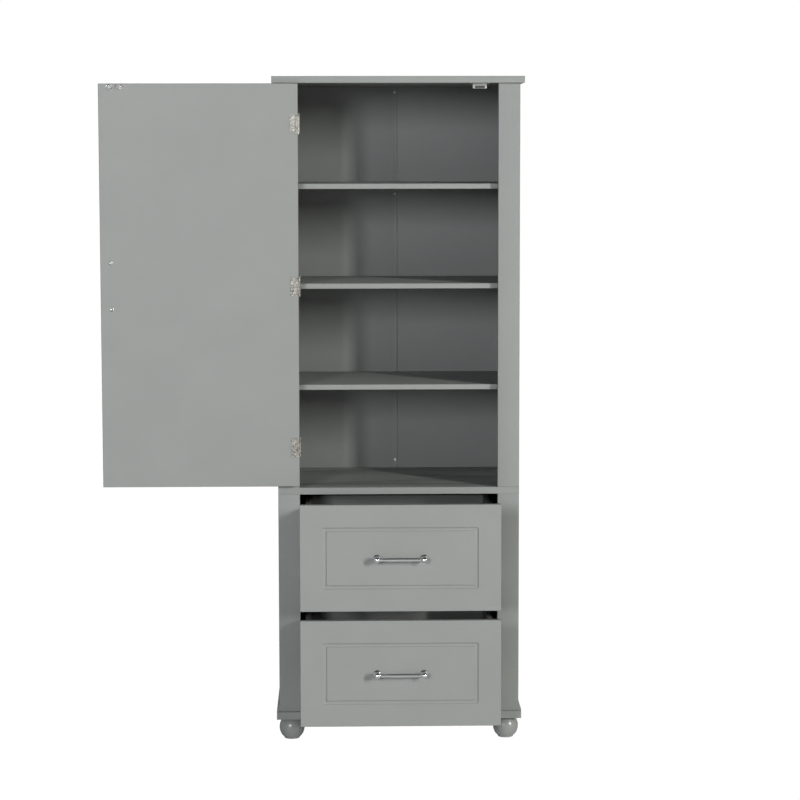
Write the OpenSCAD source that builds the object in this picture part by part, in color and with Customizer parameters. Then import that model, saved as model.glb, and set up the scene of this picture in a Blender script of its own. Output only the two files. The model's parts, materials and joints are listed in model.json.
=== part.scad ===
// Tall storage cabinet: one tall door over four shelf spaces, two deep drawers below, bun feet.
// Millimetres. +Z is up, the front faces -Y, the origin is the middle of the front left foot's sole.
// The modules draw around x = 0 in the middle of the body, and place() then moves all of it.

/* [Overall] */
// Width over the top board
overall_w = 600; // [560:1:700]
// Depth over the top board
overall_d = 400; // [390:1:450]
// Height from the floor to the top of the top board
overall_h = 1600; // [1580:1:1800]
// How far the top board stands past the body at the sides and the front
top_overhang = 10; // [6:1:20]

/* [Boards] */
// Thickness of the top board, mid board, stiles, drawer rail, door and drawer fronts
board_t = 16; // [15:0.5:18]
// Thickness of the side panels and the drawer sides
side_t = 12; // [12:0.5:15]
// Thickness of the shelves
shelf_t = 12.5; // [12:0.5:16]
// Thickness of the back panels and the drawer bottoms
panel_t = 3; // [2.5:0.5:4]
// Thickness of the base board
base_t = 18; // [16:0.5:20]
// How far the base board stands past the body
base_overhang = 6.5; // [4:0.5:10]
// Width of the stiles
stile_w = 52; // [45:1:56]

/* [Heights] */
// Top face of the mid board above the floor
mid_z = 618; // [600:1:640]
// Top faces of the three shelves above the floor
shelf_z = [865, 1108, 1346];
// How far the shelves stand back from the face of the stiles
shelf_setback = 20; // [17:1:40]

/* [Door] */
// Angle at which the door stands open
door_open = 180; // [0:1:180]
// Gap between the door and the stiles
door_gap = 3.5; // [3.5:0.1:4.5]
// Gap above the door
door_gap_top = 1.5; // [1.5:0.5:4]
// Gap below the door
door_gap_bottom = 6.5; // [2:0.5:7]
// Heights of the three hinges
hinge_z = [718, 1103, 1488];
// Height of the middle of the door pull
door_pull_z = 1105; // [1000:1:1200]
// Distance from the door's free edge to the pull
door_pull_inset = 26; // [22:1:50]

/* [Drawers] */
// How far the upper drawer stands open
upper_out = 165; // [0:1:260]
// How far the lower drawer stands open
lower_out = 170; // [0:1:260]
// Gap beside the drawer fronts
front_gap = 1.5; // [1:0.1:3]
// Gap above and below the drawer fronts
front_gap_z = 2.5; // [2:0.1:3]
// Length of the drawer sides
box_len = 345; // [320:1:350]
// Height of the drawer sides
box_h = 205; // [180:1:215]

/* [Groove] */
// Distance from the edge of a front to its routed groove
groove_margin = 53; // [40:1:70]
// Width of the routed groove
groove_w = 10; // [6:0.5:12]
// Depth of the routed groove
groove_depth = 2.5; // [1.5:0.5:4]

/* [Hardware] */
// Distance between the two posts of a pull
pull_spacing = 110; // [96:1:128]
// Distance from the face to the middle of the pull's bar
pull_reach = 22; // [20:1:30]
// Length of a hinge
hinge_len = 45; // [40:1:60]
// Diameter of a foot
foot_d = 61; // [50:1:64]
// Height of a foot
foot_h = 52; // [46:1:60]

/* [Hidden] */
$fn = 48;
body_w = overall_w - 2 * top_overhang;
body_d = overall_d - top_overhang;
side_x = body_w / 2;                 // outer face of the side panels
front_y = -body_d / 2;               // face of the stiles
rear_y = body_d / 2;                 // rear edge of the side panels
open_x = side_x - stile_w;           // inner edge of the stiles
inner_x = side_x - side_t;           // inner face of the side panels
behind_y = front_y + board_t;        // rear face of the stiles
top_z = overall_h - board_t;         // underside of the top board
mid_under = mid_z - board_t;         // underside of the mid board
base_z = foot_h + base_t;            // top face of the base board
sides = [-1, 1];

// Back panels stand in grooves in the side panels.
back_inset = 11;
back_y = rear_y - back_inset - panel_t;
back_groove = 5;
back_slack = 0.2;
joint_w = 12;
joint_t = 1.2;
joint_web = 2;
strip_screw_z = [mid_z + 20, shelf_z[2] - 30, top_z - 14];
strip_screw_r = 0.8;
strip_screw_len = 5;
strip_head_r = 3;
strip_head_h = 1.2;

// Shelves and their pins.
shelf_front = front_y + shelf_setback;
shelf_back_gap = 3;
shelf_back = back_y - shelf_back_gap;
shelf_slack = 0.8;
pin_r = 2.5;
pin_in = 8;
pin_out = 7.5;
pin_inset = 40;
pin_y = [shelf_front + pin_inset, shelf_back - pin_inset];
pin_clear = 0.05;

// Dowels between the boards.
dowel_r = 3;
dowel_side = 20;
dowel_board = 7;
dowel_y = [-120, 0, 120];
dowel_clear = 0.05;

// Hinge: the axis stands in front of the gap between the stile and the door.
leaf_t = 1.2;
leaf_w = 19;
knuckle_r = 3;
hinge_pin_r = 1.5;
pin_bore_r = 1.55;
hinge_x = -open_x + door_gap / 2;
hinge_proud = 3.5;
hinge_y = front_y - hinge_proud;
knuckles = 5;
knuckle_gap = 0.3;
knuckle_h = hinge_len / knuckles;
tab_from = 2.2;
tab_deep = hinge_proud + 0.5 - tab_from;
pin_past = 0.5;
pin_head_h = 1;
pin_head_grow = 0.9;
hinge_screw_z = 15;
screw_r = 1.5;
screw_head_r = 3;
screw_head_h = 1.1;
screw_clear = 0.05;
screw_len = 13;

// Door.
door_x = open_x - door_gap;
door_z0 = mid_z + door_gap_bottom;
door_z1 = top_z - door_gap_top;
door_pull_x = door_x - door_pull_inset;

// Magnetic catch and the strike plate that meets it.
catch_x = door_x - 40;
catch_w = 33;
catch_ear_w = 46;
catch_h = 13;
catch_deep = 15;
catch_ear_t = 2;
strike_t = 1;
catch_gap = 0.6;
catch_y = behind_y + strike_t + catch_gap;
catch_ear_inset = 1.5;
magnet_proud = 0.3;
magnet_wall = 2;
magnet_w = 24;
magnet_h = 6;
catch_screw_x = 19.7;
strike_w = 41;
strike_h = 14;
strike_z = door_z1 - 8;
strike_screw_x = 12;

// Drawers.
front_x = open_x - front_gap;
drawer_z1 = mid_under - front_gap_z;
drawer_z0 = base_z + front_gap_z;
rail_z = (drawer_z1 + drawer_z0) / 2;
front_h = (drawer_z1 - drawer_z0 - board_t) / 2 - front_gap_z;
lower_z = drawer_z0;
upper_z = drawer_z1 - front_h;
slide_gap = 12.5;
box_x = open_x - slide_gap;
box_rise = 22;
bottom_rise = 10;
bottom_groove = 5;
box_y0 = behind_y;
box_y1 = box_y0 + box_len;

// Slides: a channel on the cabinet holds a front roller, a runner on the drawer holds a rear roller.
channel_h = 34;
channel_t = 1.2;
channel_reach = 8.5;
channel_len = 352;
channel_y0 = behind_y + 2;
roller_slack = 0.5;
runner_h = 28;
runner_reach = 9.5;
runner_len = 318;
roller_front_y = channel_y0 + 14;
roller_front_r = runner_h / 2 - channel_t - roller_slack;
roller_rear_r = channel_h / 2 - channel_t - roller_slack;
roller_rear_y = box_y1 - 8;
roller_w = 6;
axle_r = 2;
slide_rise = 62;                     // middle of a slide above the bottom of its drawer front
cleat_h = 44;
cleat_len = 372;

// Pull: a turned post and ball at each end of a swelling bar.
post_r = 4.8;
ball_r = 8.2;
flange_r = 9;
bar_mid_r = 5.2;
bar_end_r = 3.6;
pull_screw_r = 1.95;
pull_bore_r = 2;
pull_bore_depth = 12;
pull_head_r = 5;
pull_head_h = 2.2;

// Cove moulding under the side panels.
cove_h = 22;
cove_lip = 4;
cove_top = 1.2;
cove_r = 24;

// Feet.
foot_inset = 5.5;
foot_x = side_x + base_overhang - foot_d / 2 - foot_inset;
foot_front_y = front_y - base_overhang + foot_d / 2 + foot_inset;
foot_rear_y = rear_y - foot_d / 2 - foot_inset;
belly_share = 0.53;                  // height of the widest place over the foot's height
belly_curl = 0.70;                   // radius of the belly's arc over the foot's radius
sole_share = 0.60;                   // radius of the sole over the foot's radius
neck_share = 0.62;                   // radius of the neck over the foot's radius
neck_h = 1.5;
stud_r = 4;
stud_clear = 0.05;
stud_z0 = 26;
stud_z1 = foot_h + base_t - 5;

paint = [0.60, 0.61, 0.60];
inside = [0.55, 0.56, 0.56];
steel = [0.75, 0.74, 0.71];
chrome = [0.86, 0.87, 0.88];
plastic = [0.88, 0.88, 0.87];

// ---- Shared shapes ----

// Box from its lowest and highest corner.
module slab(lo, hi) {
    translate(lo) cube(hi - lo);
}

// Slab on side s, -1 for left and 1 for right, whose distance from the middle runs from x0 to x1.
module side_slab(s, x0, x1, y0, y1, z0, z1) {
    slab([min(s * x0, s * x1), y0, z0], [max(s * x0, s * x1), y1, z1]);
}

// Cylinder from a point, along an axis given as rotation angles.
module rod(at, turn, r, len) {
    translate(at) rotate(turn) cylinder(r = r, h = len);
}

// Screw with a countersunk head whose top is at the origin; the shank runs along -Z.
module csk_screw(len, grow = 0) {
    translate([0, 0, -screw_head_h])
        cylinder(r1 = screw_r + grow, r2 = screw_head_r + grow, h = screw_head_h);
    translate([0, 0, -len]) cylinder(r = screw_r + grow, h = len);
}

// Every place where a dowel joins a side panel and a board: [x, y, z of the joint].
function dowel_places(z) = [for (s = sides, y = dowel_y) [s * (side_x - side_t / 2), y, z]];
dowel_joints = [
    for (p = dowel_places(top_z)) [p, 1],
    for (p = dowel_places(mid_z)) [p, -1],
    for (p = dowel_places(mid_under)) [p, 1],
    for (p = dowel_places(base_z)) [p, -1]
];

// Dowels: the short end is in the board and the long end in the side panel.
module dowel_set(grow = 0) {
    for (d = dowel_joints) {
        up = d[1] > 0;
        z0 = d[0][2] - (up ? dowel_side : dowel_board) - grow;
        z1 = d[0][2] + (up ? dowel_board : dowel_side) + grow;
        rod([d[0][0], d[0][1], z0], [0, 0, 0], dowel_r + grow, z1 - z0);
    }
}

// ---- Carcass ----

module top_board() {
    color(paint) difference() {
        slab([-overall_w / 2, front_y - top_overhang, top_z], [overall_w / 2, rear_y, overall_h]);
        dowel_set(dowel_clear);
        catch_screws(screw_clear);
    }
}

module mid_board() {
    color(paint) difference() {
        slab([-side_x, front_y, mid_under], [side_x, rear_y, mid_z]);
        dowel_set(dowel_clear);
    }
}

module base_board() {
    color(paint) difference() {
        slab([-side_x - base_overhang, front_y - base_overhang, foot_h],
             [side_x + base_overhang, rear_y, base_z]);
        dowel_set(dowel_clear);
        foot_studs(stud_clear);
    }
}

// Groove that a back panel stands in.
module back_slot(s, z0, z1) {
    side_slab(s, inner_x - 1, inner_x + back_groove + back_slack,
        back_y - back_slack, back_y + panel_t + back_slack, z0 - 1, z1 + 1);
}

module side_panel(s, z0, z1) {
    color(paint) difference() {
        side_slab(s, inner_x, side_x, behind_y, rear_y, z0, z1);
        back_slot(s, z0, z1);
        dowel_set(dowel_clear);
        shelf_pins(pin_clear);
    }
}

module stile(s, z0, z1) {
    color(paint) difference() {
        side_slab(s, open_x, side_x, front_y, behind_y, z0, z1);
        frame_leaf_screws(screw_clear);
    }
}

module drawer_rail() {
    color(paint) slab([-open_x, front_y, rail_z - board_t / 2], [open_x, behind_y, rail_z + board_t / 2]);
}

// One half of the upper back, from the joint strip's web to the groove in the side panel.
module upper_back(s) {
    color(inside) side_slab(s, joint_web / 2 + back_slack, inner_x + back_groove,
        back_y, back_y + panel_t, mid_z, top_z);
}

module lower_back() {
    color(inside) slab([-inner_x - back_groove, back_y, base_z],
        [inner_x + back_groove, back_y + panel_t, mid_under]);
}

// Strip with an H section that joins the two halves of the back.
module back_joint_strip() {
    color(inside) difference() {
        union() {
            for (y = [back_y - joint_t, back_y + panel_t])
                slab([-joint_w / 2, y, mid_z], [joint_w / 2, y + joint_t, top_z]);
            slab([-joint_web / 2, back_y - joint_t, mid_z], [joint_web / 2, back_y + panel_t, top_z]);
        }
        strip_screws(screw_clear);
    }
}

module shelf(z) {
    color(paint) slab([-inner_x + shelf_slack, shelf_front, z - shelf_t],
        [inner_x - shelf_slack, shelf_back, z]);
}

module shelf_pins(grow = 0) {
    color(steel) for (s = sides, y = pin_y, z = shelf_z)
        rod([s * (inner_x + pin_in + grow), y, z - shelf_t - pin_r], [0, -s * 90, 0],
            pin_r + grow, pin_in + pin_out + grow);
}

module dowels() {
    color([0.80, 0.68, 0.48]) dowel_set();
}

// ---- Base ----

// Moulding along the foot of a side panel. Its face is a hollow arc from the lip to the top edge,
// and the arc's centre is found from both ends.
module cove_moulding(s) {
    lip = [base_overhang, cove_lip];
    tip = [cove_top, cove_h];
    half = norm(tip - lip) / 2;
    out = [tip[1] - lip[1], lip[0] - tip[0]] / norm(tip - lip);
    centre = (lip + tip) / 2 + out * sqrt(cove_r * cove_r - half * half);
    color(paint) translate([s * side_x, rear_y, base_z]) rotate([90, 0, 0]) scale([s, 1, 1])
        linear_extrude(body_d) difference() {
            square([base_overhang, cove_h]);
            translate(centre) circle(r = cove_r, $fn = 180);
        }
}

module foot(x, y) {
    belly = foot_d / 2;
    arc_z = foot_h * belly_share;
    color(paint) translate([x, y, 0]) difference() {
        rotate_extrude($fn = 96) polygon(concat(
            [[0, 0], [belly * sole_share, 0]],
            [for (a = [-62:4:58]) [belly * (1 - belly_curl + belly_curl * cos(a)), arc_z * (1 + sin(a))]],
            [[belly * neck_share, foot_h - neck_h], [belly * neck_share, foot_h], [0, foot_h]]));
        translate([0, 0, stud_z0 - stud_clear]) cylinder(r = stud_r + stud_clear, h = foot_h);
    }
}

module foot_studs(grow = 0) {
    color(steel) for (s = sides, y = [foot_front_y, foot_rear_y])
        rod([s * foot_x, y, stud_z0 - grow], [0, 0, 0], stud_r + grow, stud_z1 - stud_z0 + 2 * grow);
}

// ---- Slides on the cabinet ----

slide_levels = [lower_z + slide_rise, upper_z + slide_rise];

// Timber strips that bring the slides in line with the stiles.
module slide_cleats() {
    color([0.72, 0.62, 0.47]) for (s = sides, z = slide_levels)
        side_slab(s, open_x, inner_x, behind_y, behind_y + min(cleat_len, back_y - behind_y - 1),
            z - cleat_h / 2, z + cleat_h / 2);
}

// C-shaped channels, open towards the drawer.
module slide_channels() {
    color(plastic) for (s = sides, z = slide_levels) union() {
        side_slab(s, open_x - channel_t, open_x, channel_y0, channel_y0 + channel_len,
            z - channel_h / 2, z + channel_h / 2);
        for (e = [-channel_h / 2, channel_h / 2 - channel_t])
            side_slab(s, open_x - channel_reach, open_x, channel_y0, channel_y0 + channel_len,
                z + e, z + e + channel_t);
        rod([s * (open_x - channel_t), roller_front_y, z], [0, -s * 90, 0], axle_r, roller_w + 1);
    }
}

module channel_rollers() {
    color("white") for (s = sides, z = slide_levels) difference() {
        rod([s * (open_x - channel_t - 0.4), roller_front_y, z], [0, -s * 90, 0], roller_front_r, roller_w);
        rod([s * open_x, roller_front_y, z], [0, -s * 90, 0], axle_r + 0.05, roller_w + 4);
    }
}

// ---- Magnetic catch ----

module catch_body() {
    color(plastic) difference() {
        union() {
            slab([catch_x - catch_w / 2, catch_y, top_z - catch_h],
                 [catch_x + catch_w / 2, catch_y + catch_deep, top_z]);
            slab([catch_x - catch_ear_w / 2, catch_y + catch_ear_inset, top_z - catch_ear_t],
                 [catch_x + catch_ear_w / 2, catch_y + catch_deep - catch_ear_inset, top_z]);
        }
        slab([catch_x - magnet_w / 2, catch_y - 1, strike_z - magnet_h / 2],
             [catch_x + magnet_w / 2, catch_y + catch_deep - magnet_wall, strike_z + magnet_h / 2]);
        catch_screws(screw_clear);
    }
}

module catch_magnet() {
    color([0.2, 0.2, 0.21]) slab([catch_x - magnet_w / 2, catch_y - magnet_proud, strike_z - magnet_h / 2],
        [catch_x + magnet_w / 2, catch_y + catch_deep - magnet_wall, strike_z + magnet_h / 2]);
}

module catch_screws(grow = 0) {
    for (s = sides)
        translate([catch_x + s * catch_screw_x, catch_y + catch_deep / 2, top_z - catch_ear_t])
            rotate([180, 0, 0]) csk_screw(screw_len, grow);
}

// ---- Hinges ----

// Screws through the frame leaves into the inner edge of the left stile.
module frame_leaf_screws(grow = 0) {
    for (z = hinge_z, e = [-hinge_screw_z, hinge_screw_z])
        translate([-open_x + leaf_t, front_y + board_t / 2 + 1, z + e])
            rotate([0, 90, 0]) csk_screw(screw_len + leaf_t, grow);
}

// Knuckles of one leaf; first is 0 for the frame leaf and 1 for the door leaf.
module knuckle_set(z, first) {
    for (k = [first:2:knuckles - 1])
        translate([hinge_x, hinge_y, z - hinge_len / 2 + k * knuckle_h + knuckle_gap / 2]) {
            cylinder(r = knuckle_r, h = knuckle_h - knuckle_gap);
            // Tab that joins the knuckle to its leaf
            translate([first == 0 ? -door_gap / 2 : door_gap / 2 - leaf_t, tab_from, 0])
                cube([leaf_t, tab_deep, knuckle_h - knuckle_gap]);
        }
}

module hinge_bore(z) {
    rod([hinge_x, hinge_y, z - hinge_len], [0, 0, 0], pin_bore_r, 2 * hinge_len);
}

module hinge_frame_leaf(z) {
    color(steel) difference() {
        union() {
            slab([-open_x, front_y, z - hinge_len / 2], [-open_x + leaf_t, behind_y, z + hinge_len / 2]);
            knuckle_set(z, 0);
        }
        hinge_bore(z);
        frame_leaf_screws(screw_clear);
    }
}

module hinge_door_leaf(z) {
    color(steel) difference() {
        union() {
            slab([-door_x - leaf_t, front_y, z - hinge_len / 2],
                 [-door_x, behind_y + leaf_t, z + hinge_len / 2]);
            slab([-door_x - leaf_t, behind_y, z - hinge_len / 2],
                 [-door_x + leaf_w, behind_y + leaf_t, z + hinge_len / 2]);
            knuckle_set(z, 1);
        }
        hinge_bore(z);
        door_leaf_screws(screw_clear);
    }
}

module hinge_pins() {
    color(steel) for (z = hinge_z) {
        rod([hinge_x, hinge_y, z - hinge_len / 2 - pin_past], [0, 0, 0], hinge_pin_r,
            hinge_len + 2 * pin_past);
        for (e = [-hinge_len / 2 - pin_past - pin_head_h, hinge_len / 2 + pin_past])
            rod([hinge_x, hinge_y, z + e], [0, 0, 0], hinge_pin_r + pin_head_grow, pin_head_h);
    }
}

// Screws through the door leaves into the door's inner face.
module door_leaf_screws(grow = 0) {
    for (z = hinge_z, e = [-hinge_screw_z, hinge_screw_z])
        translate([-door_x + leaf_w / 2, behind_y + leaf_t, z + e])
            rotate([-90, 0, 0]) csk_screw(screw_len, grow);
}

// Small screws through the joint strip of the back.
module strip_screws(grow = 0) {
    for (z = strip_screw_z)
        translate([0, back_y - joint_t, z]) rotate([90, 0, 0]) {
            translate([0, 0, -grow]) cylinder(r = strip_head_r + grow, h = strip_head_h + 2 * grow);
            translate([0, 0, -strip_screw_len]) cylinder(r = strip_screw_r + grow, h = strip_screw_len);
        }
}

module cabinet_screws() {
    color(steel) {
        frame_leaf_screws();
        catch_screws();
        strip_screws();
    }
}

// ---- Door, drawn closed and then swung open about the hinge axis ----

module swing() {
    translate([hinge_x, hinge_y, 0]) rotate([0, 0, -door_open])
        translate([-hinge_x, -hinge_y, 0]) children();
}

// Routed rectangle on the face of a front that spans x0..x1 and z0..z1.
module routed_groove(x0, x1, z0, z1) {
    difference() {
        slab([x0 + groove_margin, front_y - 1, z0 + groove_margin],
             [x1 - groove_margin, front_y + groove_depth, z1 - groove_margin]);
        slab([x0 + groove_margin + groove_w, front_y - 2, z0 + groove_margin + groove_w],
             [x1 - groove_margin - groove_w, front_y + groove_depth + 1, z1 - groove_margin - groove_w]);
    }
}

module door_panel() {
    color(paint) swing() difference() {
        slab([-door_x, front_y, door_z0], [door_x, behind_y, door_z1]);
        routed_groove(-door_x, door_x, door_z0, door_z1);
        pull_place_door() pull_screws(pull_bore_r, 1);
        door_leaf_screws(screw_clear);
        strike_screws(screw_clear);
    }
}

module strike_plate() {
    color(chrome) swing() difference() {
        hull() for (s = sides)
            translate([catch_x + s * (strike_w - strike_h) / 2, behind_y + strike_t, strike_z])
                rotate([90, 0, 0]) cylinder(r = strike_h / 2, h = strike_t, $fn = 32);
        strike_screws(screw_clear);
    }
}

module strike_screws(grow = 0) {
    for (s = sides)
        translate([catch_x + s * strike_screw_x, behind_y + strike_t, strike_z])
            rotate([-90, 0, 0]) csk_screw(screw_len - 2, grow);
}

module door_screws() {
    color(steel) swing() {
        door_leaf_screws();
        strike_screws();
    }
}

// ---- Pulls, drawn with the bar along X on a face at y = 0 that looks towards -Y ----

// Half outline of a post: radius against distance from the face.
post_outline = [
    [0, 0], [flange_r, 0], [flange_r, 1.5], [flange_r - 1.8, 3],
    [post_r, 5], [post_r, pull_reach], [0, pull_reach]
];

// Half outline of the bar: it swells smoothly towards the middle.
bar_steps = 10;
bar_outline = concat(
    [[0, -pull_spacing / 2]],
    [for (i = [0:bar_steps])
        [bar_end_r + (bar_mid_r - bar_end_r) * sin(180 * i / bar_steps),
         pull_spacing * (i / bar_steps - 0.5)]],
    [[0, pull_spacing / 2]]);

module pull() {
    color(chrome) difference() {
        union() {
            for (s = sides) translate([s * pull_spacing / 2, 0, 0]) {
                rotate([90, 0, 0]) rotate_extrude($fn = 96) polygon(post_outline);
                translate([0, -pull_reach, 0]) sphere(r = ball_r, $fn = 96);
            }
            translate([0, -pull_reach, 0]) rotate([0, 90, 0]) rotate_extrude($fn = 96) polygon(bar_outline);
        }
        for (s = sides)
            rod([s * pull_spacing / 2, 1, 0], [90, 0, 0], pull_bore_r, pull_bore_depth + 1);
    }
}

// Machine screws of a pull: shank through the front, pan head on its rear face.
module pull_screws(r, past) {
    for (s = sides)
        rod([s * pull_spacing / 2, board_t + past, 0], [90, 0, 0], r, board_t + pull_bore_depth - 2 + past);
}

module pull_screw_set() {
    color(steel) {
        pull_screws(pull_screw_r, 0.1);
        for (s = sides)
            translate([s * pull_spacing / 2, board_t + pull_head_h, 0]) rotate([90, 0, 0])
                cylinder(r1 = pull_head_r - 1.2, r2 = pull_head_r, h = pull_head_h);
    }
}

module pull_place_door() {
    translate([door_pull_x, front_y, door_pull_z]) rotate([0, 90, 0]) children();
}

module door_pull() {
    swing() pull_place_door() pull();
}

module door_pull_screws() {
    swing() pull_place_door() pull_screw_set();
}

// ---- Drawers, drawn closed and then slid out by out; z is the bottom of the drawer front ----

module drawer_front(z, out) {
    color(paint) translate([0, -out, 0]) difference() {
        slab([-front_x, front_y, z], [front_x, behind_y, z + front_h]);
        routed_groove(-front_x, front_x, z, z + front_h);
        translate([0, front_y, z + front_h / 2]) pull_screws(pull_bore_r, 1);
        bottom_space(z, back_slack);
    }
}

// Space taken by the bottom panel, with or without slack.
module bottom_space(z, slack = 0) {
    bz = z + box_rise + bottom_rise;
    slab([-box_x + side_t - bottom_groove - slack, box_y0 - bottom_groove - slack, bz - slack],
         [box_x - side_t + bottom_groove + slack, box_y1 - side_t + bottom_groove + slack,
          bz + panel_t + slack]);
}

module drawer_sides(z, out) {
    color(paint) translate([0, -out, 0]) for (s = sides) difference() {
        side_slab(s, box_x - side_t, box_x, box_y0, box_y1, z + box_rise, z + box_rise + box_h);
        bottom_space(z, back_slack);
    }
}

module drawer_back(z, out) {
    color(paint) translate([0, -out, 0]) difference() {
        slab([-box_x + side_t, box_y1 - side_t, z + box_rise],
             [box_x - side_t, box_y1, z + box_rise + box_h]);
        bottom_space(z, back_slack);
    }
}

module drawer_bottom(z, out) {
    color(inside) translate([0, -out, 0]) bottom_space(z);
}

// Runners that ride in the channels, each with its rear roller on a stub axle.
module drawer_runners(z, out) {
    m = z + slide_rise;
    color(plastic) translate([0, -out, 0]) for (s = sides) {
        union() {
            side_slab(s, box_x, box_x + channel_t, box_y0 + 2, box_y1 - 2,
                      m - runner_h / 2, m + runner_h / 2);
            for (e = [-runner_h / 2, runner_h / 2 - channel_t])
                side_slab(s, box_x, box_x + runner_reach, box_y0 + 2, box_y0 + 2 + runner_len,
                          m + e, m + e + channel_t);
            rod([s * (box_x + channel_t), roller_rear_y, m], [0, s * 90, 0], axle_r, roller_w + 1);
        }
        difference() {
            rod([s * (box_x + channel_t + 0.6), roller_rear_y, m], [0, s * 90, 0], roller_rear_r, roller_w);
            rod([s * box_x, roller_rear_y, m], [0, s * 90, 0], axle_r + 0.05, roller_w + 4);
        }
    }
}

module drawer_pull(z, out) {
    translate([0, front_y - out, z + front_h / 2]) pull();
}

module drawer_pull_screws(z, out) {
    translate([0, front_y - out, z + front_h / 2]) pull_screw_set();
}

// ---- The parts ----

// Puts the middle of the front left foot's sole at the origin.
module place() {
    translate([foot_x, -foot_front_y, 0]) children();
}

place() top_board();
place() mid_board();
place() base_board();
place() side_panel(-1, mid_z, top_z);  // upper_side_left
place() side_panel(1, mid_z, top_z);  // upper_side_right
place() side_panel(-1, base_z, mid_under);  // lower_side_left
place() side_panel(1, base_z, mid_under);  // lower_side_right
place() stile(-1, mid_z, top_z);  // upper_stile_left
place() stile(1, mid_z, top_z);  // upper_stile_right
place() stile(-1, base_z, mid_under);  // lower_stile_left
place() stile(1, base_z, mid_under);  // lower_stile_right
place() drawer_rail();
place() upper_back(-1);  // upper_back_left
place() upper_back(1);  // upper_back_right
place() back_joint_strip();
place() lower_back();
place() shelf(shelf_z[0]);  // lower_shelf
place() shelf(shelf_z[1]);  // middle_shelf
place() shelf(shelf_z[2]);  // upper_shelf
place() shelf_pins();
place() foot(-foot_x, foot_front_y);  // front_left_foot
place() foot(foot_x, foot_front_y);  // front_right_foot
place() foot(-foot_x, foot_rear_y);  // rear_left_foot
place() foot(foot_x, foot_rear_y);  // rear_right_foot
place() foot_studs();
place() cove_moulding(-1);  // left_cove_moulding
place() cove_moulding(1);  // right_cove_moulding
place() slide_cleats();
place() slide_channels();
place() channel_rollers();
place() catch_body();
place() catch_magnet();
place() hinge_frame_leaf(hinge_z[0]);  // lower_hinge_frame_leaf
place() hinge_frame_leaf(hinge_z[1]);  // middle_hinge_frame_leaf
place() hinge_frame_leaf(hinge_z[2]);  // upper_hinge_frame_leaf
place() hinge_pins();
place() cabinet_screws();
place() dowels();
place() door_panel();
place() door_pull();
place() door_pull_screws();
place() swing() hinge_door_leaf(hinge_z[0]);  // lower_hinge_door_leaf
place() swing() hinge_door_leaf(hinge_z[1]);  // middle_hinge_door_leaf
place() swing() hinge_door_leaf(hinge_z[2]);  // upper_hinge_door_leaf
place() door_screws();
place() strike_plate();
place() drawer_front(upper_z, upper_out);  // upper_drawer_front
place() drawer_sides(upper_z, upper_out);  // upper_drawer_sides
place() drawer_back(upper_z, upper_out);  // upper_drawer_back
place() drawer_bottom(upper_z, upper_out);  // upper_drawer_bottom
place() drawer_runners(upper_z, upper_out);  // upper_drawer_runners
place() drawer_pull(upper_z, upper_out);  // upper_drawer_pull
place() drawer_pull_screws(upper_z, upper_out);  // upper_drawer_pull_screws
place() drawer_front(lower_z, lower_out);  // lower_drawer_front
place() drawer_sides(lower_z, lower_out);  // lower_drawer_sides
place() drawer_back(lower_z, lower_out);  // lower_drawer_back
place() drawer_bottom(lower_z, lower_out);  // lower_drawer_bottom
place() drawer_runners(lower_z, lower_out);  // lower_drawer_runners
place() drawer_pull(lower_z, lower_out);  // lower_drawer_pull
place() drawer_pull_screws(lower_z, lower_out);  // lower_drawer_pull_screws
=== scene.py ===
"""The looks of a tall storage cabinet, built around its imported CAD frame.

Everything is in metres in the CAD model's own frame: +Z up, the front faces -Y. MM turns the millimetres
of small details into metres. Places come from the boxes of the CAD nodes.
"""

import json
import math

import bmesh
import bpy
from mathutils import Matrix, Vector

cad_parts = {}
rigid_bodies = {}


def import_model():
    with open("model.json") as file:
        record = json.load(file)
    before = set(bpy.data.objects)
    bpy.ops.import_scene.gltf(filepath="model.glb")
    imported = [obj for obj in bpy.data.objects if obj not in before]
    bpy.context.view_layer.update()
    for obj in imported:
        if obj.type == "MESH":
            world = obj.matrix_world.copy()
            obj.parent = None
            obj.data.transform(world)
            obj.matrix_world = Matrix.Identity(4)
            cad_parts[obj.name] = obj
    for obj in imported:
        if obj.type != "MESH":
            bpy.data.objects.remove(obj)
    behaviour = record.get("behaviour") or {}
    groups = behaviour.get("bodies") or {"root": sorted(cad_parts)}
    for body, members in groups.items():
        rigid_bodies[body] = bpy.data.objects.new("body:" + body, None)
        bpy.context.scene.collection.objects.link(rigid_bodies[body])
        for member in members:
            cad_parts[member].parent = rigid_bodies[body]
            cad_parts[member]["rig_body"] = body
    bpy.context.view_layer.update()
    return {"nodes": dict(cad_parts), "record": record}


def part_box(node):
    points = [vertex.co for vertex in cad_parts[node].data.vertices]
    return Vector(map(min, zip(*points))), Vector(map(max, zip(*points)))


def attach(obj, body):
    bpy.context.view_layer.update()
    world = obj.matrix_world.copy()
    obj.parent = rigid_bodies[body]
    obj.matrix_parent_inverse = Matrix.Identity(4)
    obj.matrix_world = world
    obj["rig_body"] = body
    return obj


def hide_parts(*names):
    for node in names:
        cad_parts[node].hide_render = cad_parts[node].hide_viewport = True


MM = 0.001
X, Y, Z = Vector((1, 0, 0)), Vector((0, 1, 0)), Vector((0, 0, 1))

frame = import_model()
cad = frame["nodes"]
slot_of = {s["node"]: s["material_slot"] for s in frame["record"]["subparts"]}
top_lo, top_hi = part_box("top_board")
middle = Vector(((top_lo[0] + top_hi[0]) / 2, (top_lo[1] + top_hi[1]) / 2, 0))


# ---- Materials: one short function each, on a few shared node helpers ----


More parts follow.
